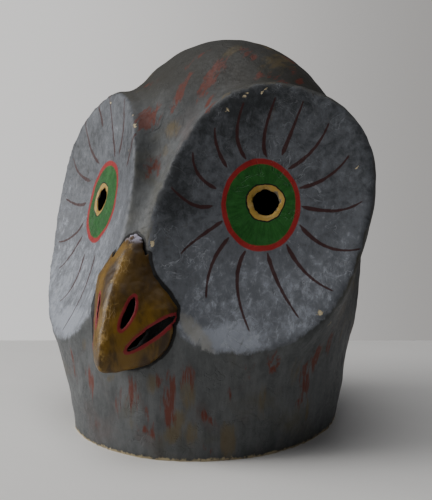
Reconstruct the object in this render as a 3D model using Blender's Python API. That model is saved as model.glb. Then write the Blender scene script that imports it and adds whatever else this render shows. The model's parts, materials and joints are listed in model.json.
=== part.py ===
# Owl carnival mask, full head, papier-mache: one hollow head shell and one hollow beak glued on it.
# Metres, +Z up, the face looks along -Y, the neck rim stands on the floor.
import bpy
import bmesh
import numpy as np
from mathutils import Matrix
from mathutils import Vector

WALL = 0.0045
CUTTER_RUN_OUT = 0.010
GLUE_GAP = 0.0004

# neck and cheeks: half widths and depths about the middle line, by height
LEVELS = (0.0, 0.025, 0.050, 0.085, 0.115, 0.145, 0.185, 0.225)
HALF_WIDTH = (0.1255, 0.1335, 0.1415, 0.150, 0.157, 0.158, 0.150, 0.135)
FRONT_DEPTH = (0.137, 0.137, 0.137, 0.137, 0.134, 0.125, 0.110, 0.090)
BACK_DEPTH = (0.148, 0.149, 0.150, 0.152, 0.155, 0.156, 0.154, 0.148)
NECK_MID_Y = -0.018
LEAN = 0.06

# crown
DOME_AT = (0.0, 0.030, 0.200)
DOME_HALF_WIDTH = 0.143
DOME_FRONT = 0.134
DOME_BACK = 0.130
DOME_RISE = 0.191

# eye discs: a drum behind each disc, its face scooped by a large sphere
PUPIL = (0.096, -0.067, 0.2255)
FACE_WAY = (0.486, -0.841, 0.237)
FACE_UP = (-0.116, 0.207, 0.971)
DRUM_HALF_WIDTH = 0.101
DRUM_HALF_HEIGHT = 0.127
DRUM_TILT = 0.30
DRUM_DEPTH = 0.090
DRUM_DROP = 0.012
DRUM_SET_BACK = 0.022
DISH_RADIUS = 0.500

# nose under the beak
BRIDGE_AT = (0.0, -0.083, 0.165)
BRIDGE_HALF = (0.045, 0.055, 0.080)

PUPIL_HOLE = 0.0105
PUPIL_WOBBLE = 0.0012
BEAK_OPENING = (0.020, 0.026)
BEAK_OPENING_Y = -0.140
BEAK_OPENING_Z = 0.122

# beak by height: ridge line, half width where it meets the head
BEAK_LEVELS = (0.0795, 0.082, 0.087, 0.097, 0.114, 0.128, 0.143, 0.156, 0.169, 0.184, 0.196, 0.200)
BEAK_RIDGE = (0.181, 0.1855, 0.187, 0.187, 0.1835, 0.179, 0.174, 0.167, 0.158, 0.148, 0.138, 0.133)
BEAK_WIDTH = (0.007, 0.018, 0.032, 0.0435, 0.0505, 0.0515, 0.0485, 0.0400, 0.0310, 0.0225, 0.0145, 0.0075)
BEAK_ROOT = (0.177, 0.168, 0.157, 0.150, 0.147, 0.145, 0.143, 0.142, 0.140, 0.136, 0.132, 0.129)
BEAK_BACK_Y = -0.100
BEAK_CROWN = 1.32
BEAK_WALL = 0.0045
CUTTER_RUN_OUT = 0.010

# slits on each side of the beak: start, end, width and the way they run through the wall
MOUTH = ((0.0195, -0.1735, 0.0998), (0.0490, -0.1430, 0.1292), 0.0085, (0.72, -0.69, 0.0))
NOSTRIL = ((0.0142, -0.1745, 0.1180), (0.0205, -0.1605, 0.1450), 0.0065, (0.62, -0.78, 0.10))


def unit(v):
    v = np.asarray(v, float)
    return v / np.linalg.norm(v)


def union(a, b, k):
    h = np.clip(0.5 + 0.5 * (b - a) / k, 0.0, 1.0)
    return b + (a - b) * h - k * h * (1.0 - h)


def cut(a, b, k):
    return -union(-a, -b, k)


def ellipsoid(q, half):
    a = np.linalg.norm(q / half, axis=-1)
    b = np.linalg.norm(q / (half * half), axis=-1)
    return a * (a - 1.0) / np.maximum(b, 1e-9)


def ease(t, a, b):
    t = np.clip((t - a) / (b - a), 0.0, 1.0)
    return t * t * (3.0 - 2.0 * t)


def by_height(z, values, e=0.012):
    low = np.interp(z - e, LEVELS, values)
    high = np.interp(z + e, LEVELS, values)
    return (low + 2.0 * np.interp(z, LEVELS, values) + high) / 4.0


def head(p):
    # below zero inside the head, above zero outside, near to metres close to the surface
    side = np.tanh(p[..., 0] / 0.05)
    wide = 1.0 - LEAN * side * ease(p[..., 2], 0.01, 0.08)
    x = np.sqrt(p[..., 0] ** 2 + 0.006 ** 2)
    y = p[..., 1]
    z = p[..., 2]
    s = np.stack([x, y, z], -1)
    q = s - np.array(DOME_AT)
    deep = np.where(q[..., 1] < 0, DOME_FRONT, DOME_BACK)
    rise = np.where(q[..., 2] > 0, DOME_RISE, 0.25)
    dome = ellipsoid(q, np.stack([DOME_HALF_WIDTH + 0.0 * deep, deep, rise], -1))
    w = y - NECK_MID_Y
    a = by_height(z, HALF_WIDTH) * wide
    b = np.where(w < 0, by_height(z, FRONT_DEPTH), by_height(z, BACK_DEPTH))
    n = np.where(w < 0, 2.05, 2.2)
    neck = ((np.abs(x / a) ** n + np.abs(w / b) ** n) ** (1.0 / n) - 1.0) * a
    neck = cut(neck, z - 0.225, 0.03)
    way = unit(FACE_WAY)
    up = unit(np.array(FACE_UP) - way * np.dot(way, FACE_UP))
    out = np.cross(way, up) * -1.0
    d = s - np.array(PUPIL)
    sideways = d @ out
    upwards = d @ up + DRUM_DROP
    across = np.abs((sideways * np.cos(DRUM_TILT) - upwards * np.sin(DRUM_TILT)) / (DRUM_HALF_WIDTH * wide))
    along = np.abs((sideways * np.sin(DRUM_TILT) + upwards * np.cos(DRUM_TILT)) / DRUM_HALF_HEIGHT)
    behind = np.abs((d @ way + DRUM_SET_BACK) / DRUM_DEPTH)
    drum = ((across ** 2.4 + along ** 2.4 + behind ** 2.4) ** (1.0 / 2.4) - 1.0) * 0.095
    bridge = ellipsoid(s - np.array(BRIDGE_AT), np.array(BRIDGE_HALF))
    f = union(neck, drum, 0.020)
    f = union(f, bridge, 0.012)
    return union(f, dome, 0.010)


def head_point(origin, way, level):
    # walk in from outside to the first crossing, then halve
    far = np.full(len(way), 0.30)
    step = 0.002
    for i in range(140):
        inside = head(origin + way * far[:, None]) < level
        far = np.where(inside, far, far - step)
    near = far
    far = far + step
    for i in range(16):
        mid = (near + far) / 2.0
        inside = head(origin + way * mid[:, None]) < level
        near = np.where(inside, mid, near)
        far = np.where(inside, far, mid)
    return origin + way * ((near + far) / 2.0)[:, None]


def head_object(name, level, turns, rings, floor):
    # a ball primitive whose points are moved out to the form: flat rays low down, fanned rays above
    bpy.ops.mesh.primitive_uv_sphere_add(segments=turns, ring_count=rings, radius=1.0)
    ob = bpy.context.object
    ob.name = name
    n = len(ob.data.vertices)
    co = np.zeros(n * 3)
    ob.data.vertices.foreach_get("co", co)
    co = co.reshape(-1, 3)
    lift = np.arcsin(np.clip(co[:, 2], -1.0, 1.0))
    turn = np.arctan2(co[:, 0], -co[:, 1])
    turn = turn - 0.30 * np.sin(turn)
    low = lift <= 1e-6
    first = np.pi / rings - np.pi / 2.0
    share = np.clip((lift - first) / (0.0 - first), 0.0, 1.0)
    z = np.where(low, floor + (0.200 - floor) * share, 0.200)
    rise = np.where(low, 0.0, lift)
    way = np.stack([np.sin(turn) * np.cos(rise), -np.cos(turn) * np.cos(rise), np.sin(rise)], -1)
    origin = np.stack([0.0 * z, 0.0 * z, z], -1)
    done = head_point(origin, way, level)
    done[:, 2] = np.where(low, z, done[:, 2])
    pole = lift < first - 1e-4
    done[pole] = (0.0, 0.0, floor)
    ob.data.vertices.foreach_set("co", done.ravel())
    ob.data.update()
    bm = bmesh.new()
    bm.from_mesh(ob.data)
    bmesh.ops.triangulate(bm, faces=bm.faces, quad_method="FIXED")
    bm.to_mesh(ob.data)
    bm.free()
    return ob


def dish_object(name, side, grow):
    # the ball that scoops one eye disc, its pole at the pupil
    bpy.ops.mesh.primitive_uv_sphere_add(segments=36, ring_count=72, radius=DISH_RADIUS + grow)
    ob = bpy.context.object
    ob.name = name
    way = Vector(FACE_WAY).normalized()
    turn = Vector((0.0, 0.0, -1.0)).rotation_difference(way * -1.0).to_matrix().to_4x4()
    ob.data.transform(Matrix.Translation(Vector(PUPIL) + way * DISH_RADIUS) @ turn)
    if side < 0:
        ob.data.transform(Matrix.Diagonal((-1.0, 1.0, 1.0, 1.0)))
        ob.data.flip_normals()
    return ob


def beak_object(name, inset, rows, columns):
    # front skin from the ridge to the root on both sides, closed by a flat back inside the head
    low = BEAK_LEVELS[0] + inset
    high = BEAK_LEVELS[-1] - inset * 1.8
    zs = low + (high - low) * (1.0 - np.cos(np.linspace(0.0, np.pi, rows))) / 2.0
    bm = bmesh.new()
    loops = []
    for z in zs:
        t = BEAK_LEVELS[0] + (z - low) / (high - low) * (BEAK_LEVELS[-1] - BEAK_LEVELS[0])
        ridge = np.interp(t, BEAK_LEVELS, BEAK_RIDGE) - inset * 1.15
        root = np.interp(t, BEAK_LEVELS, BEAK_ROOT) - inset * 0.3
        wide = max(np.interp(t, BEAK_LEVELS, BEAK_WIDTH) - inset, 0.0012)
        row = [bm.verts.new((-wide, BEAK_BACK_Y + inset * 2.0, z))]
        for u in np.linspace(-1.0, 1.0, columns):
            y = -ridge + (ridge - root) * abs(u) ** BEAK_CROWN
            row.append(bm.verts.new((u * wide, y, z)))
        row.append(bm.verts.new((wide, BEAK_BACK_Y + inset * 2.0, z)))
        loops.append(row)
    for a, b in zip(loops[:-1], loops[1:]):
        for i in range(len(a)):
            j = (i + 1) % len(a)
            bm.faces.new((a[i], a[j], b[j], b[i]))
    bm.faces.new(list(reversed(loops[0])))
    bm.faces.new(loops[-1])
    bmesh.ops.recalc_face_normals(bm, faces=bm.faces)
    mesh = bpy.data.meshes.new(name)
    bm.to_mesh(mesh)
    bm.free()
    ob = bpy.data.objects.new(name, mesh)
    bpy.context.scene.collection.objects.link(ob)
    return ob


def slit_object(name, side, slit):
    # a lens shaped bar that runs through the beak wall
    way = Vector(slit[3]).normalized()
    a = Vector(slit[0])
    b = Vector(slit[1])
    along = (b - a).normalized()
    over = along.cross(way).normalized()
    half = (b - a).length / 2.0
    middle = (a + b) / 2.0
    bm = bmesh.new()
    rows = []
    for depth in (-0.016, 0.016):
        row = []
        for i in range(16):
            t = 2.0 * np.pi * i / 16.0
            c = float(np.cos(t))
            s = float(np.sin(t))
            p = middle + along * (half * c) + over * (slit[2] / 2.0 * s * abs(s) ** 0.3) + way * depth
            row.append(bm.verts.new((p.x * side, p.y, p.z)))
        rows.append(row)
    for i in range(16):
        j = (i + 1) % 16
        bm.faces.new((rows[0][i], rows[0][j], rows[1][j], rows[1][i]))
    bm.faces.new(list(reversed(rows[0])))
    bm.faces.new(rows[1])
    bmesh.ops.recalc_face_normals(bm, faces=bm.faces)
    mesh = bpy.data.meshes.new(name)
    bm.to_mesh(mesh)
    bm.free()
    ob = bpy.data.objects.new(name, mesh)
    bpy.context.scene.collection.objects.link(ob)
    return ob


def pupil_object(name, side):
    # torn round hole: a short bar along the way the eye looks
    bpy.ops.mesh.primitive_cylinder_add(vertices=18, radius=1.0, depth=0.060)
    ob = bpy.context.object
    ob.name = name
    way = Vector(FACE_WAY).normalized()
    up = Vector(FACE_UP)
    up = (up - way * up.dot(way)).normalized()
    out = up.cross(way)
    for v in ob.data.vertices:
        t = float(np.arctan2(v.co.y, v.co.x))
        r = PUPIL_HOLE + PUPIL_WOBBLE * float(np.sin(3.0 * t + side) * 0.6 + np.sin(5.0 * t) * 0.4)
        p = Vector(PUPIL) + out * (r * v.co.x) + up * (r * v.co.y) + way * v.co.z
        v.co = (p.x * side, p.y, p.z)
    bm = bmesh.new()
    bm.from_mesh(ob.data)
    bmesh.ops.recalc_face_normals(bm, faces=bm.faces)
    bm.to_mesh(ob.data)
    bm.free()
    return ob


def opening_object(name):
    bpy.ops.mesh.primitive_cylinder_add(vertices=20, radius=1.0, depth=0.080)
    ob = bpy.context.object
    ob.name = name
    for v in ob.data.vertices:
        x = v.co.x * BEAK_OPENING[0]
        z = v.co.y * BEAK_OPENING[1] + BEAK_OPENING_Z
        v.co = (x, BEAK_OPENING_Y - v.co.z, z)
    bm = bmesh.new()
    bm.from_mesh(ob.data)
    bmesh.ops.recalc_face_normals(bm, faces=bm.faces)
    bm.to_mesh(ob.data)
    bm.free()
    return ob


def collection(name):
    c = bpy.data.collections.new(name)
    bpy.context.scene.collection.children.link(c)
    return c


def put(ob, home):
    for c in list(ob.users_collection):
        c.objects.unlink(ob)
    home.objects.link(ob)


def hide(ob, home):
    put(ob, home)
    ob.display_type = "WIRE"
    ob.hide_render = True


def subtract(ob, cutter):
    m = ob.modifiers.new("cut_" + cutter.name, "BOOLEAN")
    m.operation = "DIFFERENCE"
    m.solver = "EXACT"
    m.object = cutter


def centre(pieces):
    # the whole model moves so that the middle of its box stands on the origin
    graph = bpy.context.evaluated_depsgraph_get()
    low = Vector((1.0, 1.0, 0.0))
    high = Vector((-1.0, -1.0, 0.0))
    for ob in pieces:
        mesh = ob.evaluated_get(graph).to_mesh()
        for v in mesh.vertices:
            low.x = min(low.x, v.co.x)
            low.y = min(low.y, v.co.y)
            high.x = max(high.x, v.co.x)
            high.y = max(high.y, v.co.y)
        ob.evaluated_get(graph).to_mesh_clear()
    for ob in bpy.data.objects:
        ob.location = (low + high) * -0.5


def paint(name, colour, rough):
    mat = bpy.data.materials.new(name)
    mat.use_nodes = True
    node = mat.node_tree.nodes["Principled BSDF"]
    node.inputs["Base Color"].default_value = colour
    node.inputs["Roughness"].default_value = rough
    return mat


for ob in list(bpy.data.objects):
    bpy.data.objects.remove(ob)

parts = collection("owl_mask")
tools = collection("cutters")

shell = head_object("mask_shell", 0.0, 64, 34, 0.0)
put(shell, parts)
hollow = head_object("hollow", -WALL, 40, 22, -CUTTER_RUN_OUT)
hide(hollow, tools)
seat = head_object("beak_seat", GLUE_GAP, 64, 34, 0.0)
hide(seat, tools)
for side in (1.0, -1.0):
    end = "_near" if side > 0 else "_far"
    dish = dish_object("dish" + end, side, 0.0)
    hide(dish, tools)
    subtract(shell, dish)
    dish_inside = dish_object("dish_inside" + end, side, WALL)
    hide(dish_inside, tools)
    subtract(hollow, dish_inside)
    dish_seat = dish_object("dish_seat" + end, side, -GLUE_GAP)
    hide(dish_seat, tools)
    subtract(seat, dish_seat)
subtract(shell, hollow)
for side in (1.0, -1.0):
    hole = pupil_object("pupil_near" if side > 0 else "pupil_far", side)
    hide(hole, tools)
    subtract(shell, hole)
opening = opening_object("beak_opening")
hide(opening, tools)
subtract(shell, opening)

beak = beak_object("beak", 0.0, 20, 21)
put(beak, parts)
inner = beak_object("beak_inner", BEAK_WALL, 12, 11)
hide(inner, tools)
subtract(beak, inner)
subtract(beak, seat)
for side in (1.0, -1.0):
    end = "_near" if side > 0 else "_far"
    mouth = slit_object("mouth" + end, side, MOUTH)
    hide(mouth, tools)
    subtract(beak, mouth)
    nostril = slit_object("nostril" + end, side, NOSTRIL)
    hide(nostril, tools)
    subtract(beak, nostril)

centre([shell, beak])
shell.data.materials.append(paint("grey_paint", (0.13, 0.14, 0.14, 1.0), 0.7))
beak.data.materials.append(paint("ochre_varnish", (0.30, 0.19, 0.06, 1.0), 0.35))
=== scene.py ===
import json
import math
import bpy
import numpy as np
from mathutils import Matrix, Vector
from mathutils.kdtree import KDTree

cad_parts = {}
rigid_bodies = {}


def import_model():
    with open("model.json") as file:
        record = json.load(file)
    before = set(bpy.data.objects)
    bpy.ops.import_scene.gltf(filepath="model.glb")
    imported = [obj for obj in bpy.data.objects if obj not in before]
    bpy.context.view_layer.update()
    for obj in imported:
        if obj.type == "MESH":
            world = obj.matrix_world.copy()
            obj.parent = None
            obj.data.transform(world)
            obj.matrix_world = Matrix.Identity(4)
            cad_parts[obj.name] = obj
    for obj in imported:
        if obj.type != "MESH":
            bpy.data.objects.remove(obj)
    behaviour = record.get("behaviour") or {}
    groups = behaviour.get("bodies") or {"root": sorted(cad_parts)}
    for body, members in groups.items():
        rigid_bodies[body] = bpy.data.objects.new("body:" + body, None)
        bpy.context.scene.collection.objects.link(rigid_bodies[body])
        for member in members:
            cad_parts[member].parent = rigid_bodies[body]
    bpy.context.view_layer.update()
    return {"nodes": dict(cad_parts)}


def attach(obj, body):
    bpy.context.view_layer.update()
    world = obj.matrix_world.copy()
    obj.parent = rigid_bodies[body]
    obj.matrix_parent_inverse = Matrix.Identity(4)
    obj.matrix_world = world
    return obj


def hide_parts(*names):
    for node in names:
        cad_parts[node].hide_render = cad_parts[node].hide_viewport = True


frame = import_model()
print("frame loaded")

# where the mask's own middle line stands in the frame, the plane of the left eye and its dish's radius
face = {
    "middle": (0.0051, 0.0136, 0.0),
    "pupil": (0.096, -0.067, 0.2255),
    "looks": (0.486, -0.841, 0.237),
    "up": (-0.116, 0.207, 0.971),
    "dish": 0.500,
}


def unit(v):
    return v / np.linalg.norm(v)


looks = unit(np.array(face["looks"]))
eyeUp = np.array(face["up"])
eyeUp = unit(eyeUp - looks * (eyeUp @ looks))
eyeOut = np.cross(eyeUp, looks)


# small helpers for meshes
def selectOnly(ob):
    for other in bpy.context.view_layer.objects:
        other.select_set(False)
    ob.select_set(True)
    bpy.context.view_layer.objects.active = ob


def copyOfNode(nodeName, newName):
    node = frame["nodes"][nodeName]
    ob = bpy.data.objects.new(newName, node.data.copy())
    bpy.context.scene.collection.objects.link(ob)
    ob.data.materials.clear()
    selectOnly(ob)
    bpy.ops.object.mode_set(mode="EDIT")
    bpy.ops.mesh.select_all(action="SELECT")
    bpy.ops.mesh.remove_doubles(threshold=0.00002)
    bpy.ops.object.mode_set(mode="OBJECT")
    return ob


def applyAll(ob):
    selectOnly(ob)
    for m in list(ob.modifiers):
        bpy.ops.object.modifier_apply(modifier=m.name)


def readPoints(ob):
    co = np.zeros(len(ob.data.vertices) * 3, np.float32)
    ob.data.vertices.foreach_get("co", co)
    return co.reshape(-1, 3).astype(float)


def writePoints(ob, co):
    ob.data.vertices.foreach_set("co", co.astype(np.float32).ravel())
    ob.data.update()


def readNormals(ob):
    no = np.zeros(len(ob.data.vertices) * 3, np.float32)
    ob.data.vertex_normals.foreach_get("vector", no)
    return no.reshape(-1, 3).astype(float)


def pointValues(ob, name, values):
    if values.ndim == 1:
        a = ob.data.attributes.new(name, "FLOAT", "POINT")
        a.data.foreach_set("value", values.astype(np.float32))
    else:
        a = ob.data.attributes.new(name, "FLOAT_VECTOR", "POINT")
        a.data.foreach_set("vector", values.astype(np.float32).ravel())


def even(ob, voxel):
    m = ob.modifiers.new("even", "REMESH")
    m.mode = "VOXEL"
    m.voxel_size = voxel


def soften(ob, rounds, where=""):
    m = ob.modifiers.new("soften", "SMOOTH")
    m.factor = 0.5
    m.iterations = rounds
    m.vertex_group = where


def lumps(ob, name, size, height):
    tex = bpy.data.textures.new(name, "CLOUDS")
    tex.noise_scale = size
    m = ob.modifiers.new(name, "DISPLACE")
    m.texture = tex
    m.texture_coords = "LOCAL"
    m.strength = height


# small helpers for materials
def addNode(tree, kind, **values):
    n = tree.nodes.new(kind)
    for k, v in values.items():
        setattr(n, k, v)
    return n


def feed(tree, value, socket):
    if hasattr(value, "is_output"):
        tree.links.new(value, socket)
    else:
        socket.default_value = value


def calc(tree, how, a, b=0.0, c=0.0):
    n = addNode(tree, "ShaderNodeMath", operation=how)
    feed(tree, a, n.inputs[0])
    feed(tree, b, n.inputs[1])
    feed(tree, c, n.inputs[2])
    return n.outputs[0]


def weighted(tree, *terms):
    # sum of values, each times its own weight
    total = 0.0
    for value, weight in terms:
        total = calc(tree, "MULTIPLY_ADD", value, weight, total)
    return total


def sway(tree, noise, amount):
    # noise that swings to both sides of zero
    return calc(tree, "MULTIPLY", calc(tree, "SUBTRACT", noise, 0.5), amount)


def oval(tree, x, y, place):
    # 0 in the middle of an oval and 1 on its edge, from its middle and its half sizes
    middleX, middleY, halfX, halfY = place
    a = calc(tree, "DIVIDE", calc(tree, "SUBTRACT", x, middleX), halfX)
    b = calc(tree, "DIVIDE", calc(tree, "SUBTRACT", y, middleY), halfY)
    return calc(tree, "MULTIPLY_ADD", a, a, calc(tree, "MULTIPLY", b, b))


def between(tree, value, low, high, outLow=0.0, outHigh=1.0, smooth=True):
    n = addNode(tree, "ShaderNodeMapRange", interpolation_type="SMOOTHSTEP" if smooth else "LINEAR")
    feed(tree, value, n.inputs["Value"])
    feed(tree, low, n.inputs["From Min"])
    feed(tree, high, n.inputs["From Max"])
    feed(tree, outLow, n.inputs["To Min"])
    feed(tree, outHigh, n.inputs["To Max"])
    return n.outputs["Result"]


def within(tree, value, limit, soft):
    # 1 under a limit and 0 over it, with a soft edge
    return between(tree, value, limit + soft, limit - soft)


def blendColour(tree, amount, a, b):
    n = addNode(tree, "ShaderNodeMix", data_type="RGBA")
    feed(tree, amount, n.inputs[0])
    feed(tree, a if hasattr(a, "is_output") else (*a, 1.0), n.inputs[6])
    feed(tree, b if hasattr(b, "is_output") else (*b, 1.0), n.inputs[7])
    return n.outputs[2]


def cloud(tree, where, size, detail=3.0, rough=0.55, twist=0.0):
    n = addNode(tree, "ShaderNodeTexNoise")
    feed(tree, where, n.inputs["Vector"])
    n.inputs["Scale"].default_value = size
    n.inputs["Detail"].default_value = detail
    n.inputs["Roughness"].default_value = rough
    n.inputs["Distortion"].default_value = twist
    return n.outputs["Fac"]


def bent(tree, pattern, where, size, reach):
    # moves a pattern's coordinates by a soft noise in three channels
    noise = addNode(tree, "ShaderNodeTexNoise")
    feed(tree, where, noise.inputs["Vector"])
    noise.inputs["Scale"].default_value = size
    soft = addNode(tree, "ShaderNodeVectorMath", operation="SCALE")
    feed(tree, noise.outputs["Color"], soft.inputs[0])
    soft.inputs["Scale"].default_value = reach
    moved = addNode(tree, "ShaderNodeVectorMath", operation="ADD")
    feed(tree, pattern, moved.inputs[0])
    feed(tree, soft.outputs[0], moved.inputs[1])
    return moved.outputs[0]


def cells(tree, where, size):
    # distance from the edges of irregular cells
    n = addNode(tree, "ShaderNodeTexVoronoi", feature="DISTANCE_TO_EDGE")
    feed(tree, where, n.inputs["Vector"])
    n.inputs["Scale"].default_value = size
    return n.outputs["Distance"]


def stretched(tree, where, scale, turn=(0.0, 0.0, 0.0), move=(0.0, 0.0, 0.0)):
    n = addNode(tree, "ShaderNodeMapping")
    feed(tree, where, n.inputs["Vector"])
    n.inputs["Location"].default_value = move
    n.inputs["Rotation"].default_value = turn
    n.inputs["Scale"].default_value = scale
    return n.outputs[0]


def parted(tree, vector):
    n = addNode(tree, "ShaderNodeSeparateXYZ")
    feed(tree, vector, n.inputs[0])
    return n.outputs


def newGroup(name, inputs, outputs):
    g = bpy.data.node_groups.new(name, "ShaderNodeTree")
    for n, kind in inputs:
        g.interface.new_socket(n, in_out="INPUT", socket_type=kind)
    for n, kind in outputs:
        g.interface.new_socket(n, in_out="OUTPUT", socket_type=kind)
    return g, g.nodes.new("NodeGroupInput").outputs, g.nodes.new("NodeGroupOutput").inputs


def useGroup(tree, g, **values):
    n = addNode(tree, "ShaderNodeGroup", node_tree=g)
    for k, v in values.items():
        feed(tree, v, n.inputs[k])
    return n.outputs


# noise sizes of the two paint groups
brushwork = {
    "bristleEdge": (0.42, 0.88),
    "hair": (420.0, 420.0, 90.0), "hairTurn": (0.3, 0.2, 0.0), "hairShare": 0.6,
    "fibre": 260.0,
    "strips": 22.0, "stripEdge": 0.09, "stripBend": 14.0, "stripBendReach": 0.045,
}


def makeBristles():
    # turns a soft spot into a dab of a dry brush: streaks of the bristles and a broken edge
    g, i, o = newGroup(
        "bristles",
        [("Spot", "NodeSocketFloat"), ("Where", "NodeSocketVector"), ("Streak", "NodeSocketVector"),
         ("Rough", "NodeSocketFloat")],
        [("Mask", "NodeSocketFloat")],
    )
    long = addNode(g, "ShaderNodeVectorMath", operation="MULTIPLY")
    g.links.new(i["Where"], long.inputs[0])
    g.links.new(i["Streak"], long.inputs[1])
    streak = cloud(g, long.outputs[0], 1.0, 4.0, 0.65, 0.25)
    dab = calc(g, "ADD", i["Spot"], sway(g, streak, i["Rough"]))
    g.links.new(between(g, dab, *brushwork["bristleEdge"]), o["Mask"])
    return g


def makePaintSkin():
    # relief of hand-laid paper under brushed paint: brush hair, paper fibre and the edges of the strips
    g, i, o = newGroup(
        "paintSkin",
        [("Where", "NodeSocketVector"), ("Fine", "NodeSocketFloat"), ("Strips", "NodeSocketFloat")],
        [("Height", "NodeSocketFloat"), ("Grain", "NodeSocketFloat")],
    )
    where = i["Where"]
    hair = cloud(g, stretched(g, where, brushwork["hair"], brushwork["hairTurn"]), 1.0, 3.0, 0.6)
    fibre = cloud(g, where, brushwork["fibre"], 4.0, 0.7)
    torn = bent(g, where, where, brushwork["stripBend"], brushwork["stripBendReach"])
    strip = between(g, cells(g, torn, brushwork["strips"]), 0.0, brushwork["stripEdge"])
    fine = calc(g, "MULTIPLY", weighted(g, (hair, brushwork["hairShare"]), (fibre, 1.0)), i["Fine"])
    g.links.new(calc(g, "MULTIPLY_ADD", strip, i["Strips"], fine), o["Height"])
    g.links.new(fibre, o["Grain"])
    return g


bristles = makeBristles()
paintSkin = makePaintSkin()
print("paint groups ready")

# the head shell: sizes in metres, and for what is painted in mm or degrees
shell = {
    "voxel": 0.0034,
    "smoothing": 12,
    "lumpSize": 0.060, "lumpHeight": 0.0040,
    "wrinkleSize": 0.018, "wrinkleHeight": 0.0013,
    "rimHeight": 0.0022,
    "core": (0.0051, 0.016, 0.170),
    "innerFrom": (0.02, 0.2),
    "discSkin": (-4.0, 1.8),
    "featherSkin": (-3.0, 2.8), "featherReach": 130.0,
    "beakReach": 0.012,
    "moreRed": (3, 60, 34), "moreOchre": (8, 46, 40),
}

# brush dabs: degrees round from the front and up from the core, tilt, length and width in mm, strength
redDabs = (
    (17, -37, 3, 32, 11.9, 1.0), (-16, -35, -12, 27, 9.3, 0.9), (-27, -32, -14, 27, 6.8, 0.8),
    (-2, -37, 2, 25, 5.1, 0.7), (4, -36, -5, 27, 13.6, 0.62), (23, -31, 0, 25, 11.9, 0.62),
    (29, -40, -55, 17, 6.8, 0.8), (10, -43, -70, 21, 6, 0.7), (-14, -44, 70, 17, 8.5, 0.6),
    (29, -46, -50, 13, 6, 0.8), (36, -35, 0, 13, 10.2, 0.55), (14, -32, 0, 11, 8.5, 0.6),
    (10, -40, -25, 27, 4.2, 0.6), (42, -29, 0, 21, 10.2, 0.5), (30, 71, 28, 44, 12.8, 1.0),
    (4, 67, 12, 38, 9.3, 0.75), (-15, 56, 10, 28, 18.7, 1.0), (-1, 76, 20, 19, 6.8, 0.6),
    (-40, 68, 50, 32, 6.8, 0.6), (26, 53, 22, 32, 8.5, 0.8), (64, 66, 80, 25, 8.5, 0.75),
    (-2, 40, 15, 21, 13.6, 0.65), (13, 81, 50, 38, 6, 0.5), (29, 62, 30, 25, 5.1, 0.7),
)
ochreDabs = (
    (11, -33, 0, 18, 14, 0.75), (23, -35, 0, 26, 14, 0.85), (20, -40, 20, 18, 14, 0.85),
    (18, -43, 70, 16, 14, 0.9), (24, -43, 0, 18, 14, 0.85), (-5, -33, 60, 16, 8, 0.7),
    (-19, -26, 0, 14, 8, 0.7), (36, -45, 0, 26, 14, 1.0), (4, -42, 0, 12, 9, 0.6),
    (5, 54, 0, 20, 18, 0.75), (3, 47, 0, 20, 12, 0.6), (38, 58, 0, 26, 12, 0.6),
    (58, 80, 60, 40, 14, 0.7), (95, 70, 80, 70, 34, 0.7), (60, -32, 0, 30, 20, 0.6),
    (48, -38, 0, 30, 14, 0.6),
)
# where the paint has chipped off to the cream paper, on the rims of the eyes and beside the beak
chipSpots = (
    (-17, 51, 0, 8, 4, 1.0), (-22, 55, 0, 7, 3, 1.0), (-20, 45, 0, 9, 3, 0.8), (85, -3, 10, 9, 4, 1.0),
    (8, 8, 0, 10, 5, 1.0), (7, 11, -30, 8, 3, 0.9), (63, -13, 50, 9, 4, 1.0), (69, -17, 60, 8, 3, 1.0),
    (48, 57, 80, 7, 3, 1.0), (56, 56, 80, 9, 3, 1.0), (38, 55, 70, 6, 4, 0.9), (80, 27, 40, 20, 2.4, 0.9),
    (-60, 55, 80, 7, 3, 1.0), (-85, 5, 10, 8, 3, 1.0),
)

# painted feather lines round each eye: start, middle and end, in mm out from and up from the pupil
leftFeathers = (
    ((33, -4), (63, -8), (86, 0)),
    ((31, -21), (55, -41), (84, -43)),
    ((19, -39), (36, -65), (59, -81)),
    ((2, -47), (12, -76), (29, -105)),
    ((-18, -45), (-25, -76), (-14, -117)),
    ((-33, -33), (-48, -59), (-52, -88)),
    ((-39, -18), (-65, -38), (-75, -49)),
    ((-48, -4), (-66, -3), (-85, 12)),
    ((-45, 12), (-61, 25), (-66, 45)),
    ((-35, 32), (-44, 50), (-46, 68)),
    ((-18, 40), (-26, 62), (-20, 91)),
    ((1, 42), (-1, 62), (9, 96)),
    ((15, 44), (24, 66), (34, 92)),
    ((21, 31), (43, 48), (57, 72)),
    ((31, 13), (56, 23), (75, 42)),
)
rightFeathers = (
    ((22, 38), (52, 57), (71, 88)),
    ((22, 77), (34, 93), (46, 109)),
    ((-22, 44), (-6, 76), (12, 110)),
    ((-34, 45), (-38, 74), (-33, 102)),
    ((-65, 33), (-74, 52), (-78, 71)),
    ((39, 19), (70, 27), (89, 43)),
    ((40, -5), (59, -8), (91, -3)),
    ((33, -26), (53, -44), (80, -52)),
    ((25, -41), (44, -69), (57, -80)),
    ((3, -59), (2, -92), (18, -112)),
    ((-29, -56), (-32, -87), (-27, -136)),
)


def eyePlane(co):
    # mm out from the pupil, up from the pupil and ahead of the scooped disc, on the point's own side
    p = co - np.array(face["middle"])
    side = np.where(p[:, 0] >= 0, 1.0, -1.0)
    p[:, 0] = np.abs(p[:, 0])
    d = p - np.array(face["pupil"])
    ball = np.linalg.norm(d - looks * face["dish"], axis=1) - face["dish"]
    return d @ eyeOut * 1000, d @ eyeUp * 1000, ball * 1000, side


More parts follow.
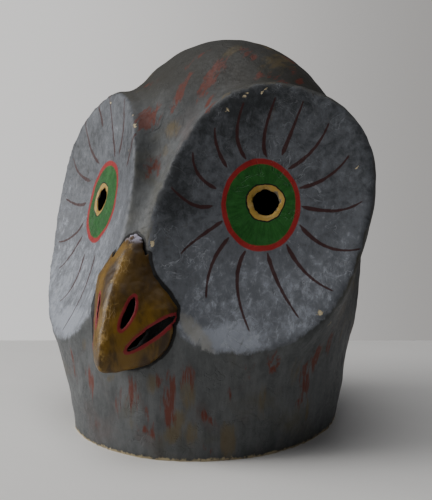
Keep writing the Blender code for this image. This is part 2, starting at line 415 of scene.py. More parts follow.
def scattered(seed, count, longest):
    # more dabs of the same kind round the sides and the back
    rng = np.random.RandomState(seed)
    dabs = []
    for k in range(count):
        high = rng.uniform(-45, 78)
        turn = rng.uniform(50, 325)
        facing = high > -24 and high < 52 and (turn < 88 or turn > 272)
        if not facing:
            dabs.append((turn, high, rng.uniform(-15, 30), rng.uniform(0.5, 1) * longest,
                         rng.uniform(7, 16), rng.uniform(0.5, 0.95)))
    return tuple(dabs)


def spots(co, dabs):
    # soft oval spots on the skin, seen from the head's core, 1 in the middle and 0 past the edge
    p = (co - np.array(shell["core"])) * 1000
    value = np.zeros(len(co))
    for turn, high, tilt, length, width, strength in dabs:
        a, e, w = math.radians(turn), math.radians(high), math.radians(tilt)
        ahead = np.array((math.sin(a) * math.cos(e), -math.cos(a) * math.cos(e), math.sin(e)))
        right = np.array((math.cos(a), math.sin(a), 0.0))
        up = np.cross(ahead, right)
        along = p @ (up * math.cos(w) + right * math.sin(w))
        across = p @ (right * math.cos(w) - up * math.sin(w))
        q = np.hypot(along / (length / 2), across / (width / 2))
        spot = strength * np.clip(1.35 - 0.75 * q, 0, 1)
        value = np.maximum(value, np.where(p @ ahead > 0, spot, 0))
    return value


def featherRuns(points):
    # a quadratic through the three points, as a run of short pieces
    a, m, b = (np.array(q, float) for q in points)
    c = 2 * m - (a + b) / 2
    t = np.linspace(0, 1, 13)[:, None]
    return (1 - t) ** 2 * a + 2 * t * (1 - t) * c + t ** 2 * b


def alongAndAcross(q, run):
    # share of the way along the run, and distance across it, with straight runs past both ends
    d = run[1:] - run[:-1]
    size = np.linalg.norm(d, axis=1)
    total = np.concatenate([[0], np.cumsum(size)])
    w = q[:, None, :] - run[:-1][None]
    t = (w * d).sum(2) / size ** 2
    low = np.zeros(len(size))
    high = np.ones(len(size))
    low[0] = -9
    high[-1] = 9
    t = np.clip(t, low, high)
    gap = w - t[..., None] * d
    dist = np.linalg.norm(gap, axis=2)
    k = dist.argmin(1)
    row = np.arange(len(q))
    sign = np.sign(d[k, 0] * gap[row, k, 1] - d[k, 1] * gap[row, k, 0])
    share = (total[k] + t[row, k] * size[k]) / total[-1]
    return share, dist[row, k] * sign


def featherMap(ob, out, up, ball, side):
    # each face near a line gets a map that runs along and across that line
    mesh = ob.data
    nf, nl = len(mesh.polygons), len(mesh.loops)
    count = np.zeros(nf, int)
    mesh.polygons.foreach_get("loop_total", count)
    vert = np.zeros(nl, int)
    mesh.loops.foreach_get("vertex_index", vert)
    owner = np.repeat(np.arange(nf), count)

    def faceMean(values):
        return np.bincount(owner, values[vert], nf) / count

    mid = np.stack([faceMean(out), faceMean(up)], 1)
    depth = faceMean(ball)
    which = faceMean(side)
    low, high = shell["featherSkin"]
    onDisc = (depth > low) & (depth < high) & (np.abs(mid[:, 0]) < shell["featherReach"])
    offTheMap = -5.0
    uv = np.full((nl, 2), offTheMap)
    for sign, feathers in ((1, leftFeathers), (-1, rightFeathers)):
        faces = np.where(onDisc & (which * sign > 0.9))[0]
        runs = [featherRuns(f) for f in feathers]
        gaps = []
        for run in runs:
            t, across = alongAndAcross(mid[faces], run)
            past = np.maximum(np.maximum(-t, t - 1), 0) * 50
            gaps.append(np.hypot(across, past))
        chosen = np.full(nf, -1)
        chosen[faces] = np.argmin(gaps, 0)
        for k, run in enumerate(runs):
            loops = np.where(chosen[owner] == k)[0]
            t, across = alongAndAcross(np.stack([out[vert[loops]], up[vert[loops]]], 1), run)
            uv[loops] = np.stack([t, across], 1)
    layer = mesh.uv_layers.new(name="feather")
    layer.data.foreach_set("uv", uv.astype(np.float32).ravel())


def distanceTo(other, co, reach):
    points = readPoints(other)
    tree = KDTree(len(points))
    for k, p in enumerate(points):
        tree.insert(p, k)
    tree.balance()
    gap = np.full(len(co), reach)
    low = points.min(0) - reach
    high = points.max(0) + reach
    for k in np.where(((co > low) & (co < high)).all(1))[0]:
        gap[k] = min(reach, tree.find(co[k])[2])
    return gap * 1000


def coveredBy(other, co, step=0.004, inset=0.003, front=-0.05):
    # 1 where the front of the head lies behind the beak, level by level
    points = readPoints(other)
    covered = np.zeros(len(co))
    for low in np.arange(points[:, 2].min(), points[:, 2].max(), step):
        row = points[(points[:, 2] >= low) & (points[:, 2] < low + step)]
        if len(row):
            inside = (co[:, 2] >= low) & (co[:, 2] < low + step) & (co[:, 1] < front)
            inside &= (co[:, 0] > row[:, 0].min() + inset) & (co[:, 0] < row[:, 0].max() - inset)
            covered[inside] = 1
    return covered


def innerWall(co, no, ball):
    # true on the inside, which faces the head's middle, and never on the skin of the discs
    behind, below = shell["innerFrom"]
    away = co - np.array([face["middle"][0], behind, 0.0])
    away[:, 2] = np.maximum(co[:, 2] - below, 0)
    low, high = shell["discSkin"]
    return ((no * away).sum(1) < 0) & ~((ball > low) & (ball < high))


def buildShell(beakPiece):
    ob = copyOfNode("mask_shell", "owlHead")
    even(ob, shell["voxel"])
    applyAll(ob)
    rim = readPoints(ob)[:, 2] < shell["rimHeight"]
    soft = ob.vertex_groups.new(name="soft")
    soft.add([int(k) for k in np.where(~rim)[0]], 1.0, "ADD")
    soften(ob, shell["smoothing"], "soft")
    applyAll(ob)
    co = readPoints(ob)
    out, up, ball, side = eyePlane(co)
    inner = innerWall(co, readNormals(ob), ball)
    outer = (~inner).astype(float)
    pointValues(ob, "eye", np.stack([out, up, side], 1))
    pointValues(ob, "dish", np.where(inner, 9.0, ball))
    pointValues(ob, "inside", inner.astype(float))
    pointValues(ob, "redDabs", spots(co, redDabs + scattered(*shell["moreRed"])) * outer)
    pointValues(ob, "ochreDabs", spots(co, ochreDabs + scattered(*shell["moreOchre"])) * outer)
    pointValues(ob, "chips", spots(co, chipSpots) * outer)
    pointValues(ob, "beakGap", distanceTo(beakPiece, co, shell["beakReach"]))
    pointValues(ob, "shadeBehindBeak", coveredBy(beakPiece, co))
    featherMap(ob, out, up, ball, side)
    lumps(ob, "shellLumps", shell["lumpSize"], shell["lumpHeight"])
    lumps(ob, "shellWrinkles", shell["wrinkleSize"], shell["wrinkleHeight"])
    applyAll(ob)

    # the neck rim stays flat on the shelf
    done = readPoints(ob)
    done[rim, 2] = 0.0
    done[:, 2] = np.maximum(done[:, 2], 0.0)
    writePoints(ob, done)
    ob.vertex_groups.clear()
    selectOnly(ob)
    bpy.ops.object.shade_smooth()
    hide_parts("mask_shell")
    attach(ob, "root")
    return ob


# the beak: each cheek is how far it is drawn in, at which height and how far up and down from there
beak = {
    "voxel": 0.0013,
    "smoothing": 7,
    "lumpSize": 0.020, "lumpHeight": 0.0016,
    "wrinkleSize": 0.006, "wrinkleHeight": 0.0004,
    "leftCheek": (0.0105, 0.163, 0.029),
    "rightCheek": (0.0115, 0.122, 0.036),
    "levels": 30, "levelReach": 0.004, "leastHalf": 0.004,
    "core": (0.0051, -0.128, 0.125),
    "slitReach": 0.016,
    "mouth": ((0.0195, -0.1735, 0.0998), (0.0490, -0.1430, 0.1292), 0.0085, (0.72, -0.69, 0.0)),
    "nostril": ((0.0142, -0.1745, 0.1180), (0.0205, -0.1605, 0.1450), 0.0065, (0.62, -0.78, 0.10)),
}


def slitGap(co, slit):
    # mm from the cut edge of one pair of slits, measured on the skin
    p = co - np.array(face["middle"])
    p[:, 0] = np.abs(p[:, 0])
    a, b, width, way = (np.array(q, float) for q in slit)
    along = unit(b - a)
    way = unit(way)
    over = unit(np.cross(along, way))
    d = p - (a + b) / 2
    half = np.linalg.norm(b - a) / 2
    t = d @ along / half
    s = np.sqrt(np.clip(1 - np.clip(t, -1, 1) ** 2, 0, 1))
    tall = width / 2 * s ** 1.3
    gap = np.hypot(np.maximum(np.abs(t) - 1, 0) * half, np.maximum(np.abs(d @ over) - tall, 0))
    return np.where(np.abs(d @ way) < beak["slitReach"], gap, 0.02) * 1000


def shapedCheeks(co):
    # the laid paper sags in under the brow on the left cheek, and the right cheek is flatter
    z = co[:, 2]
    x = co[:, 0] - face["middle"][0]
    levels = np.linspace(z.min(), z.max(), beak["levels"])
    near = [np.abs(z - level) < beak["levelReach"] for level in levels]
    for sign, cheek in ((1, "leftCheek"), (-1, "rightCheek")):
        pull, middle, reach = beak[cheek]
        half = np.interp(z, levels, [max((x[rows] * sign).max(), beak["leastHalf"]) for rows in near])
        belly = np.clip(1 - ((z - middle) / reach) ** 2, 0, 1)
        outward = np.clip(x * sign / half, 0, 1)
        co[:, 0] -= sign * pull * belly * outward ** 1.4
    return co


def buildBeak():
    ob = copyOfNode("beak", "owlBeak")
    even(ob, beak["voxel"])
    soften(ob, beak["smoothing"])
    applyAll(ob)
    co = readPoints(ob)
    inner = (readNormals(ob) * (co - np.array(beak["core"]))).sum(1) < 0
    pointValues(ob, "mouthGap", slitGap(co, beak["mouth"]))
    pointValues(ob, "nostrilGap", slitGap(co, beak["nostril"]))
    pointValues(ob, "inside", inner.astype(float))
    pointValues(ob, "ridge", (co[:, 0] - face["middle"][0]) * 1000)
    writePoints(ob, shapedCheeks(co))
    lumps(ob, "beakLumps", beak["lumpSize"], beak["lumpHeight"])
    lumps(ob, "beakWrinkles", beak["wrinkleSize"], beak["wrinkleHeight"])
    applyAll(ob)
    selectOnly(ob)
    bpy.ops.object.shade_smooth()
    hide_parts("beak")
    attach(ob, "root")
    return ob


# paints
paint = {
    "greyDark": (0.044, 0.048, 0.049), "greyLight": (0.118, 0.124, 0.127),
    "crownPaintedShade": (0.026, 0.024, 0.018), "oliveHaze": (0.085, 0.074, 0.040),
    "redHaze": (0.095, 0.066, 0.060), "redBrown": (0.112, 0.027, 0.016), "ochreDab": (0.125, 0.088, 0.030),
    "discDark": (0.028, 0.031, 0.034), "discMid": (0.118, 0.127, 0.143), "discLight": (0.31, 0.335, 0.385),
    "discDry": (0.42, 0.45, 0.50), "rubbed": (0.27, 0.265, 0.24),
    "irisGreen": (0.010, 0.072, 0.011), "irisLight": (0.024, 0.130, 0.024), "irisRed": (0.27, 0.012, 0.012),
    "ringGold": (0.40, 0.25, 0.05), "line": (0.040, 0.010, 0.009), "black": (0.005, 0.005, 0.005),
    "barePaper": (0.55, 0.46, 0.29), "innerPaper": (0.20, 0.165, 0.11), "innerShade": (0.13, 0.105, 0.075),
    "beakOchre": (0.165, 0.090, 0.009), "beakBrown": (0.042, 0.022, 0.006), "beakHighlightGold": (0.42, 0.27, 0.075),
    "slitRed": (0.23, 0.014, 0.022), "cere": (0.40, 0.39, 0.50),
}

# the grey ground: a haze has its paint, noise size, place, range and strength, and the dabs their points,
# paint, roughness and strength; heights are in metres
ground = {
    "tones": (0.40, 0.72),
    "hazes": (
        ("oliveHaze", 13.0, (0.7, 0.2, 0.5), 0.50, 0.72, 0.55),
        ("redHaze", 17.0, (0.1, 0.8, 0.3), 0.54, 0.74, 0.45),
    ),
    # heights over which the crown darkens as painted shade, and how much
    "crown": (0.312, 0.362), "crownShadeShare": 0.85,
    "overTop": (0.25, 0.29),
    "uprightStroke": (230.0, 230.0, 34.0), "overStroke": (230.0, 40.0, 90.0),
    "dabs": (("ochreDabs", "ochreDab", 1.1, 0.60), ("redDabs", "redBrown", 2.7, 0.95)),
}

# the eye discs, in mm out from and up from the pupil
discs = {
    "pale": (55.0, -112.0), "inward": (130.0, -25.0),
    # painted shade on the near disc: beside the beak, under the brow and along its lower edge
    "shadeBesideBeak": (-42.0, -86.0), "shadeBesideBeakUp": (-122.0, -80.0),
    "shadeUnderBrow": (48.0, 108.0), "shadeAtLowerEdge": (108.0, 130.0),
    "swirl": (-32.0, -124.0, 28.0, 13.0),
    "rubbed": (56.0, -121.0, 22.0, 7.0), "rubbedWay": (0.62, 0.78),
    "frayed": (2.8, 0.6),
    "featherWidth": 3.7, "featherTip": 1.4, "featherSoft": 0.35,
}

# the painted eyes, in mm, and the iris as half width and half height
eyes = {
    "iris": (35.6, 42.7), "irisAcross": -4.0,
    "farIris": (41.0, 43.0), "farIrisAcross": -10.0,
    "irisUp": -2.5, "greenShare": 0.88, "irisSoft": 0.015,
    "ringRadius": 16.75, "ringLine": 1.2, "ringSoft": 0.25,
    "holeRadius": 11.2, "holeSoft": 0.3,
    "skin": (4.5, 3.0),
}


def newMaterial(name):
    mat = bpy.data.materials.new(name)
    mat.use_nodes = True
    tree = mat.node_tree
    return mat, tree, tree.nodes["Principled BSDF"]


def valueOf(tree, name, part="Fac"):
    n = addNode(tree, "ShaderNodeAttribute", attribute_name=name)
    return n.outputs[part]


def addBump(tree, height, strength, distance, skin):
    bump = addNode(tree, "ShaderNodeBump")
    bump.inputs["Strength"].default_value = strength
    bump.inputs["Distance"].default_value = distance
    feed(tree, height, bump.inputs["Height"])
    feed(tree, bump.outputs[0], skin.inputs["Normal"])


def headPatterns(t):
    # what more than one layer of the head's paint reads: places, and noises on them
    here = addNode(t, "ShaderNodeTexCoord").outputs["Object"]
    out, up, side = parted(t, valueOf(t, "eye", "Vector"))
    radius = calc(t, "SQRT", oval(t, out, up, (0.0, 0.0, 1.0, 1.0)))
    polar = addNode(t, "ShaderNodeCombineXYZ")
    feed(t, calc(t, "MULTIPLY", calc(t, "ARCTAN2", up, out), 9.0), polar.inputs[0])
    feed(t, calc(t, "MULTIPLY", radius, 0.035), polar.inputs[1])
    feed(t, side, polar.inputs[2])
    moved = stretched(t, here, (1, 1, 1), move=(0.4, 0.0, 0.9))
    strokes = stretched(t, here, (170.0, 90.0, 75.0), (0.3, 0.9, 0.3))
    return {
        "here": here, "height": parted(t, here)["Z"],
        "out": out, "up": up, "radius": radius,
        "nearSide": between(t, side, -1.0, 1.0, smooth=False),
        "dish": valueOf(t, "dish"),
        "broad": cloud(t, here, 9.0, 4.0, 0.6, 0.6),
        "brushed": cloud(t, stretched(t, here, (80.0, 80.0, 20.0)), 1.0, 6.0, 0.7),
        "fine": cloud(t, here, 120.0, 5.0, 0.7, 0.5),
        "rays": cloud(t, polar.outputs[0], 1.6, 6.0, 0.72, 0.3),
        "mottle": cloud(t, here, 42.0, 6.0, 0.72, 0.8),
        "patches": cloud(t, moved, 19.0, 4.0, 0.65, 0.5),
        "crossed": cloud(t, strokes, 1.0, 6.0, 0.72, 0.5),
    }


def groundPaint(t, p):
    # grey, brushed unevenly, with olive and reddish hazes, painted shade darkening the crown, and the dabs
    # over it
    tone = weighted(t, (p["brushed"], 0.45), (p["broad"], 0.45), (p["fine"], 0.20))
    colour = blendColour(t, between(t, tone, *ground["tones"]), paint["greyDark"], paint["greyLight"])
    for tint, size, move, low, high, most in ground["hazes"]:
        haze = cloud(t, stretched(t, p["here"], (1, 1, 1), move=move), size, 4.0, 0.65, 0.4)
        colour = blendColour(t, between(t, haze, low, high, 0.0, most), colour, paint[tint])
    uneven = calc(t, "MULTIPLY_ADD", p["broad"], 0.03, p["height"])
    # painted shade: the crown darkens towards its top, partly its own darker paint and partly shade
    crown = between(t, uneven, *ground["crown"], 0.0, ground["crownShadeShare"])
    colour = blendColour(t, crown, colour, paint["crownPaintedShade"])

    # strokes stand upright on the neck and run over the top on the crown
    onTop = between(t, p["height"], *ground["overTop"])
    onNeck = calc(t, "SUBTRACT", 1.0, onTop)
    for points, tint, rough, most in ground["dabs"]:
        spot = valueOf(t, points)
        dab = 0.0
        for stroke, where in ((ground["uprightStroke"], onNeck), (ground["overStroke"], onTop)):
            streaks = useGroup(t, bristles, Spot=spot, Where=p["here"], Streak=stroke, Rough=rough)
            dab = calc(t, "MULTIPLY_ADD", streaks["Mask"], where, dab)
        dab = calc(t, "MULTIPLY", dab, between(t, spot, 0.02, 0.3))
        colour = blendColour(t, calc(t, "MULTIPLY", dab, most), colour, paint[tint])
    return colour


def discPaint(t, p):
    # dark and mottled above and beside the beak, dry-brushed pale towards the lower edge; on the near disc
    # the dark under the brow, beside the beak and along the lower edge is partly its paint and partly
    # painted shade
    out, up, near = p["out"], p["up"], p["nearSide"]
    inward = between(t, out, *discs["inward"], 0.85, 1.0)
    inward = calc(t, "MAXIMUM", inward, calc(t, "SUBTRACT", 0.75, near))
    pale = calc(t, "MULTIPLY", between(t, up, *discs["pale"]), inward)
    # painted shade on the near disc: beside the beak, under the brow and along the lower edge
    shadeBesideBeak = calc(t, "MULTIPLY", between(t, out, *discs["shadeBesideBeak"]), near)
    shadeBesideBeak = calc(t, "MULTIPLY", shadeBesideBeak, between(t, up, *discs["shadeBesideBeakUp"]))
    shadeUnderBrow = between(t, calc(t, "MULTIPLY_ADD", out, -0.35, up), *discs["shadeUnderBrow"])
    shadeAtLowerEdge = between(t, weighted(t, (out, 0.7), (up, -0.7)), *discs["shadeAtLowerEdge"], 0.0, 1.6)
    paintedShade = calc(t, "MULTIPLY", calc(t, "MAXIMUM", shadeUnderBrow, shadeAtLowerEdge), near)
    paintedShade = calc(t, "MAXIMUM", shadeBesideBeak, paintedShade)
    swirl = calc(t, "MULTIPLY_ADD", p["crossed"], 4.5, oval(t, out, up, discs["swirl"]))
    swirl = between(t, swirl, 3.9, 1.9)
    mixed = weighted(t, (p["rays"], 0.20), (p["mottle"], 0.34), (p["crossed"], 0.22), (p["patches"], 0.34),
                     (swirl, 0.24), (pale, 0.25), (paintedShade, -0.13))
    mixed = calc(t, "ADD", mixed, sway(t, p["fine"], 0.55))
    # the far disc is a little lighter all over
    mixed = calc(t, "ADD", mixed, between(t, near, 0.0, 1.0, 0.04, 0.0))
    disc = blendColour(t, between(t, mixed, 0.36, 0.71), paint["discDark"], paint["discMid"])
    disc = blendColour(t, between(t, mixed, 0.68, 0.98, 0.0, 0.80), disc, paint["discLight"])
    dry = calc(t, "MULTIPLY", between(t, p["crossed"], 0.52, 0.66), between(t, mixed, 0.60, 0.86, 0.0, 0.5))
    return blendColour(t, dry, disc, paint["discDry"])


def wornDiscWithGlints(t, p, disc):
    # a rubbed patch beside the beak, and hair-thin creases painted pale as a painted highlight of glints on
    # the wrinkles
    out, up = p["out"], p["up"]
    less, more = discs["rubbedWay"]
    along = weighted(t, (out, less), (up, -more))
    across = weighted(t, (out, more), (up, less))
    rub = calc(t, "MULTIPLY_ADD", p["crossed"], 3.0, oval(t, along, across, discs["rubbed"]))
    rub = calc(t, "MULTIPLY", between(t, rub, 3.0, 1.7), calc(t, "MULTIPLY", p["nearSide"], 0.75))
    disc = blendColour(t, rub, disc, paint["rubbed"])
    folds = cloud(t, p["here"], 36.0, 4.0, 0.55, 0.8)
    hairline = calc(t, "ABSOLUTE", calc(t, "SUBTRACT", folds, 0.5))
    creases = calc(t, "MULTIPLY", between(t, hairline, 0.012, 0.002), between(t, p["patches"], 0.44, 0.58))
    # painted highlight: the creases lighter, more so lower down
    creaseGlint = calc(t, "MULTIPLY", creases, between(t, up, 80.0, -60.0, 0.08, 0.30))
    return blendColour(t, creaseGlint, disc, paint["discDry"]), creases


def featherLines(t, p, colour):
    # thick at the eye and thin at the tip
    along, across, _ = parted(t, addNode(t, "ShaderNodeUVMap", uv_map="feather").outputs[0])
    half = between(t, along, 0.15, 1.0, discs["featherWidth"] / 2, discs["featherTip"] / 2, False)
    half = calc(t, "MULTIPLY", half, between(t, along, -0.02, 0.10, 0.35, 1.0))
    wobble = sway(t, cloud(t, p["here"], 160.0, 3.0), 1.5)
    edge = calc(t, "SUBTRACT", calc(t, "ADD", calc(t, "ABSOLUTE", across), wobble), half)
    line = within(t, edge, 0.0, discs["featherSoft"])
    line = calc(t, "MULTIPLY", line, between(t, along, -0.02, 0.0))
    line = calc(t, "MULTIPLY", line, between(t, along, 1.02, 0.97))
    line = calc(t, "MULTIPLY", line, between(t, p["dish"], 4.0, 3.0))
    return blendColour(t, calc(t, "MULTIPLY", line, 0.93), colour, paint["line"])


def paintedEye(t, p, colour):
    # iris with its red edge, gold ring with a black outline, and the dark cut of the peep hole
    def ofThisEye(nearValue, farValue):
        return calc(t, "MULTIPLY_ADD", p["nearSide"], nearValue - farValue, farValue)

    wide = ofThisEye(eyes["iris"][0], eyes["farIris"][0])
    tall = ofThisEye(eyes["iris"][1], eyes["farIris"][1])
    across = ofThisEye(eyes["irisAcross"], eyes["farIrisAcross"])
    iris = calc(t, "SQRT", oval(t, p["out"], p["up"], (across, eyes["irisUp"], wide, tall)))
    iris = calc(t, "ADD", iris, sway(t, cloud(t, p["here"], 55.0, 3.0), 0.07))
    skin = between(t, p["dish"], *eyes["skin"])
    red = calc(t, "MULTIPLY", within(t, iris, 1.0, eyes["irisSoft"]), skin)
    colour = blendColour(t, red, colour, paint["irisRed"])
    tone = between(t, weighted(t, (p["rays"], 0.6), (p["mottle"], 0.5)), 0.42, 0.72)
    green = blendColour(t, tone, paint["irisGreen"], paint["irisLight"])
    onGreen = calc(t, "MULTIPLY", within(t, iris, eyes["greenShare"], eyes["irisSoft"]), skin)
    colour = blendColour(t, onGreen, colour, green)

    ragged = sway(t, cloud(t, p["here"], 90.0, 2.0), 5.0)
    ring = calc(t, "ADD", p["radius"], ragged)
    onLine = within(t, ring, eyes["ringRadius"] + eyes["ringLine"], eyes["ringSoft"])
    colour = blendColour(t, calc(t, "MULTIPLY", onLine, skin), colour, paint["black"])
    onGold = calc(t, "MULTIPLY", within(t, ring, eyes["ringRadius"], eyes["ringSoft"]), skin)
    goldTone = between(t, p["mottle"], 0.45, 0.70, 0.0, 0.3)
    gold = blendColour(t, goldTone, paint["ringGold"], paint["barePaper"])
    colour = blendColour(t, onGold, colour, gold)
    cut = within(t, calc(t, "MULTIPLY_ADD", ragged, 0.35, p["radius"]), eyes["holeRadius"], eyes["holeSoft"])
    return blendColour(t, cut, colour, paint["black"]), onGreen


def shellPaint():
    mat, t, skin = newMaterial("owlGreyPaint")
    p = headPatterns(t)
    relief = useGroup(t, paintSkin, Where=p["here"], Fine=0.40, Strips=0.16)
    disc, creases = wornDiscWithGlints(t, p, discPaint(t, p))
    frayed = calc(t, "ADD", p["dish"], sway(t, p["crossed"], 8.5))
    frayed = calc(t, "ADD", frayed, sway(t, p["patches"], 4.0))
    colour = blendColour(t, between(t, frayed, *discs["frayed"]), groundPaint(t, p), disc)
    colour = featherLines(t, p, colour)
    colour, onGreen = paintedEye(t, p, colour)

    # dark outline where the beak is glued on, and black behind it as painted shade in the hollow under the
    # beak
    # painted shade: black where the head lies behind the beak
    colour = blendColour(t, valueOf(t, "shadeBehindBeak"), colour, paint["black"])
    join = calc(t, "ADD", valueOf(t, "beakGap"), sway(t, p["mottle"], 2.0))
    colour = blendColour(t, within(t, join, 2.9, 0.5), colour, paint["black"])

    # worn edges show cream paper: the neck rim and chips along the rim of the discs
    chip = cloud(t, p["here"], 190.0, 5.0, 0.75)
    chipSpot = valueOf(t, "chips")
    chips = calc(t, "ADD", chipSpot, sway(t, chip, 2.2))
    chips = calc(t, "MULTIPLY", between(t, chips, 0.78, 0.86), between(t, chipSpot, 0.02, 0.2))
    rimWear = between(t, calc(t, "MULTIPLY_ADD", chip, -0.012, p["height"]), -0.0035, -0.0050)
    worn = calc(t, "MAXIMUM", chips, rimWear)
    colour = blendColour(t, worn, colour, paint["barePaper"])

    # bare paper inside
    insidePaper = blendColour(t, p["mottle"], paint["innerPaper"], paint["innerShade"])
    colour = blendColour(t, valueOf(t, "inside"), colour, insidePaper)
    feed(t, colour, skin.inputs["Base Color"])
    rough = between(t, relief["Grain"], 0.3, 0.7, 0.46, 0.66)
    rough = calc(t, "MULTIPLY_ADD", onGreen, -0.16, rough)
    feed(t, calc(t, "MULTIPLY_ADD", worn, 0.2, rough), skin.inputs["Roughness"])
    skin.inputs["Specular IOR Level"].default_value = 0.30
    height = weighted(t, (relief["Height"], 1.0), (p["brushed"], 0.5), (creases, -0.5), (worn, -0.8))
    addBump(t, height, 0.8, 0.0009, skin)
    return mat


# the beak's paint: across the ridge in mm, heights in metres
varnish = {
    "crest": (7.0, 1.0), "crestHighlight": 0.6,
    "nearCheekShadeAcross": (2.0, 12.0), "nearCheekShadeUp": (0.120, 0.160),
    "cracks": 230.0, "crackWay": (1.6, 1.0, 0.55), "crackBend": 90.0, "crackBendReach": 0.006,
    "cereUp": (0.1885, 0.1945),
    "lips": 3.0, "lipSoft": 0.6, "cutFaceShade": (0.35, 0.1),
    "coat": 0.07, "coatRoughness": 0.18,
}


def beakPaint():
    mat, t, skin = newMaterial("owlBeakVarnish")
    here = addNode(t, "ShaderNodeTexCoord").outputs["Object"]
    height = parted(t, here)["Z"]
    relief = useGroup(t, paintSkin, Where=here, Fine=0.25, Strips=0.3)
    broad = cloud(t, stretched(t, here, (46.0, 46.0, 20.0)), 1.0, 4.0, 0.6, 0.5)
    colour = blendColour(t, between(t, broad, 0.36, 0.64), paint["beakBrown"], paint["beakOchre"])
    across = valueOf(t, "ridge")
    crest = calc(t, "ABSOLUTE", across)
    grain = cloud(t, here, 150.0, 5.0, 0.75)
    # painted highlight: pale gold glints along the ridge
    light = calc(t, "MULTIPLY", between(t, crest, *varnish["crest"]), between(t, grain, 0.50, 0.68))
    colour = blendColour(t, calc(t, "MULTIPLY", light, varnish["crestHighlight"]), colour, paint["beakHighlightGold"])
    # darker umber on the near cheek only: partly the beak's darker paint and partly painted shade on the
    # cheek turned from the light
    nearCheekShade = calc(t, "MULTIPLY", between(t, across, *varnish["nearCheekShadeAcross"]),
                 between(t, height, *varnish["nearCheekShadeUp"]))
    nearCheekShade = calc(t, "MULTIPLY", nearCheekShade, between(t, broad, 0.30, 0.60, 1.0, 0.70))
    colour = blendColour(t, nearCheekShade, colour, paint["beakBrown"])

    # flaked varnish: a net of cracks near the ridge, coloured pale gold, partly the cracked varnish and
    # partly a painted highlight of its glints
    slanted = stretched(t, here, varnish["crackWay"])
    slanted = bent(t, slanted, here, varnish["crackBend"], varnish["crackBendReach"])
    net = between(t, cells(t, slanted, varnish["cracks"]), 0.07, 0.02)
    where = between(t, cloud(t, here, 38.0, 3.0), 0.50, 0.60)
    cracks = calc(t, "MULTIPLY", calc(t, "MULTIPLY", net, where), between(t, crest, 14.0, 3.0))
    colour = blendColour(t, calc(t, "MULTIPLY", cracks, 0.5), colour, paint["beakHighlightGold"])
    flake = calc(t, "MULTIPLY", between(t, grain, 0.66, 0.70), between(t, crest, 7.0, 2.0))
    colour = blendColour(t, flake, colour, paint["barePaper"])

    # pale dabs on the top, red lips on the slits, and black as painted shade on the inside and the slits'
    # cut faces
    top = calc(t, "MULTIPLY", between(t, height, *varnish["cereUp"]), between(t, grain, 0.42, 0.55))
    colour = blendColour(t, calc(t, "MULTIPLY", top, 0.85), colour, paint["cere"])
    uneven = sway(t, grain, 3.5)
    lips = 0.0
    # painted shade: the beak's inside and the cut faces of its slits black
    dark = valueOf(t, "inside")
    for slit in ("mouthGap", "nostrilGap"):
        gap = valueOf(t, slit)
        lip = within(t, calc(t, "ADD", gap, uneven), varnish["lips"], varnish["lipSoft"])
        lips = calc(t, "MAXIMUM", lips, lip)
        dark = calc(t, "MAXIMUM", dark, between(t, gap, *varnish["cutFaceShade"]))
    colour = blendColour(t, calc(t, "MULTIPLY", lips, 0.92), colour, paint["slitRed"])
    colour = blendColour(t, dark, colour, paint["black"])
    feed(t, colour, skin.inputs["Base Color"])
    rough = calc(t, "MULTIPLY_ADD", lips, 0.12, between(t, grain, 0.35, 0.7, 0.34, 0.52))
    feed(t, calc(t, "MAXIMUM", rough, dark), skin.inputs["Roughness"])
    feed(t, between(t, dark, 0.0, 0.5, varnish["coat"], 0.0), skin.inputs["Coat Weight"])
    skin.inputs["Specular IOR Level"].default_value = 0.26
    skin.inputs["Coat Roughness"].default_value = varnish["coatRoughness"]
    addBump(t, weighted(t, (relief["Height"], 1.0), (grain, 0.6), (cracks, 0.5)), 0.6, 0.0006, skin)
    return mat


beakPiece = buildBeak()
beakPiece.data.materials.append(beakPaint())
print("beak built", len(beakPiece.data.polygons))
shellPiece = buildShell(beakPiece)
shellPiece.data.materials.append(shellPaint())
print("head shell built", len(shellPiece.data.polygons))

# floor, light and camera
studio = {
    "floorAcross": 9.0, "floorBehind": 0.39, "floorAhead": 3.0, "floorThick": 0.04, "floorEdge": 0.004,
    "floorColour": (0.89, 0.88, 0.855), "floorTint": 0.03, "floorRough": 0.42,
    "wallLeft": (0.90, 0.885, 0.87), "wallRight": (0.37, 0.36, 0.35), "wallShadeFade": (-0.28, 0.32),
    "dimRoom": (0.095, 0.095, 0.10),
    "windowAt": (-1.55, -1.00, 0.80), "windowSize": 1.5, "windowPower": 39.0,
    "windowColour": (1.0, 0.985, 0.97),
    "ceilingAt": (-0.15, -0.22, 1.75), "ceilingSize": 1.5, "ceilingPower": 13.5,
    "lampsAim": (0.0, 0.0, 0.2),
}
cameraView = {
    "at": (0.4481, -0.6964, 0.248), "ahead": (-0.528, 0.845, -0.0872),
    "lens": 58.03, "shift": (0.004, -0.004),
}


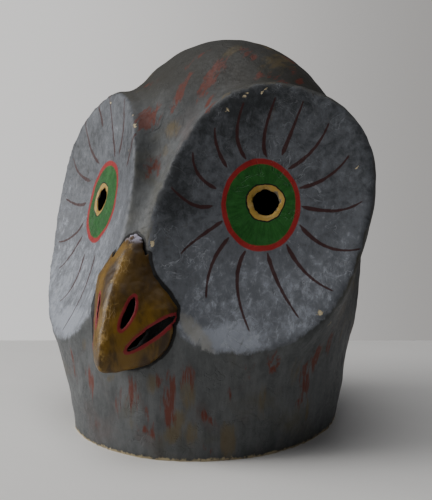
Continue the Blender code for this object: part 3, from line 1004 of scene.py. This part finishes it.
def buildFloor():
    ahead = Vector((cameraView["ahead"][0], cameraView["ahead"][1], 0)).normalized()
    turn = math.atan2(ahead.y, ahead.x) - math.pi / 2
    deep = studio["floorBehind"] + studio["floorAhead"]
    middle = ahead * ((studio["floorBehind"] - studio["floorAhead"]) / 2)
    place = (middle.x, middle.y, -studio["floorThick"] / 2)
    bpy.ops.mesh.primitive_cube_add(size=1, location=place, rotation=(0, 0, turn))
    ob = bpy.context.object
    ob.name = "shelf"
    ob.scale = (studio["floorAcross"], deep, studio["floorThick"])
    bpy.ops.object.transform_apply(location=True, rotation=True, scale=True)
    edge = ob.modifiers.new("edge", "BEVEL")
    edge.width = studio["floorEdge"]
    edge.segments = 3
    mat, t, skin = newMaterial("shelfWhite")
    here = addNode(t, "ShaderNodeTexCoord").outputs["Object"]
    tint = cloud(t, stretched(t, here, (3.0, 14.0, 1.0), (0, 0, -turn)), 1.0, 3.0)
    darker = tuple(c * (1 - studio["floorTint"]) for c in studio["floorColour"])
    lighter = tuple(c * (1 + studio["floorTint"]) for c in studio["floorColour"])
    feed(t, blendColour(t, tint, darker, lighter), skin.inputs["Base Color"])
    skin.inputs["Roughness"].default_value = studio["floorRough"]
    ob.data.materials.append(mat)


def addLamp(name, colour=(1.0, 1.0, 1.0)):
    # a round soft lamp, with its place, size and power among the studio's values
    lamp = bpy.data.lights.new(name + "Light", "AREA")
    lamp.shape = "DISK"
    lamp.size = studio[name + "Size"]
    lamp.energy = studio[name + "Power"]
    lamp.color = colour
    ob = bpy.data.objects.new(name + "Light", lamp)
    bpy.context.scene.collection.objects.link(ob)
    ob.location = studio[name + "At"]
    aim = Vector(studio["lampsAim"]) - ob.location
    ob.rotation_euler = aim.to_track_quat("-Z", "Y").to_euler()


def buildRoom():
    # the pale wall is only a backdrop: it fades darker to the right as painted shade, and the room that
    # lights the mask is dimmer
    world = bpy.data.worlds.new("room")
    bpy.context.scene.world = world
    world.use_nodes = True
    room = world.node_tree
    dim = room.nodes["Background"]
    dim.inputs["Color"].default_value = (*studio["dimRoom"], 1.0)
    wall = addNode(room, "ShaderNodeBackground")
    acrossView = addNode(room, "ShaderNodeVectorMath", operation="DOT_PRODUCT")
    feed(room, addNode(room, "ShaderNodeTexCoord").outputs["Generated"], acrossView.inputs[0])
    right = Vector(cameraView["ahead"]).cross(Vector((0, 0, 1))).normalized()
    acrossView.inputs[1].default_value = right
    # painted shade: the backdrop darker to the right
    wallShade = between(room, acrossView.outputs["Value"], *studio["wallShadeFade"])
    feed(room, blendColour(room, wallShade, studio["wallLeft"], studio["wallRight"]), wall.inputs["Color"])
    seen = addNode(room, "ShaderNodeMixShader")
    feed(room, addNode(room, "ShaderNodeLightPath").outputs["Is Camera Ray"], seen.inputs[0])
    room.links.new(dim.outputs[0], seen.inputs[1])
    room.links.new(wall.outputs[0], seen.inputs[2])
    room.links.new(seen.outputs[0], room.nodes["World Output"].inputs["Surface"])


def buildCamera():
    cam = bpy.data.cameras.new("camera")
    cam.lens = cameraView["lens"]
    cam.sensor_width = 36.0
    cam.shift_x, cam.shift_y = cameraView["shift"]
    ob = bpy.data.objects.new("camera", cam)
    bpy.context.scene.collection.objects.link(ob)
    ob.location = cameraView["at"]
    ob.rotation_euler = Vector(cameraView["ahead"]).to_track_quat("-Z", "Y").to_euler()
    bpy.context.scene.camera = ob


buildFloor()
addLamp("window", studio["windowColour"])
addLamp("ceiling")
buildRoom()
buildCamera()
print("studio and camera ready")
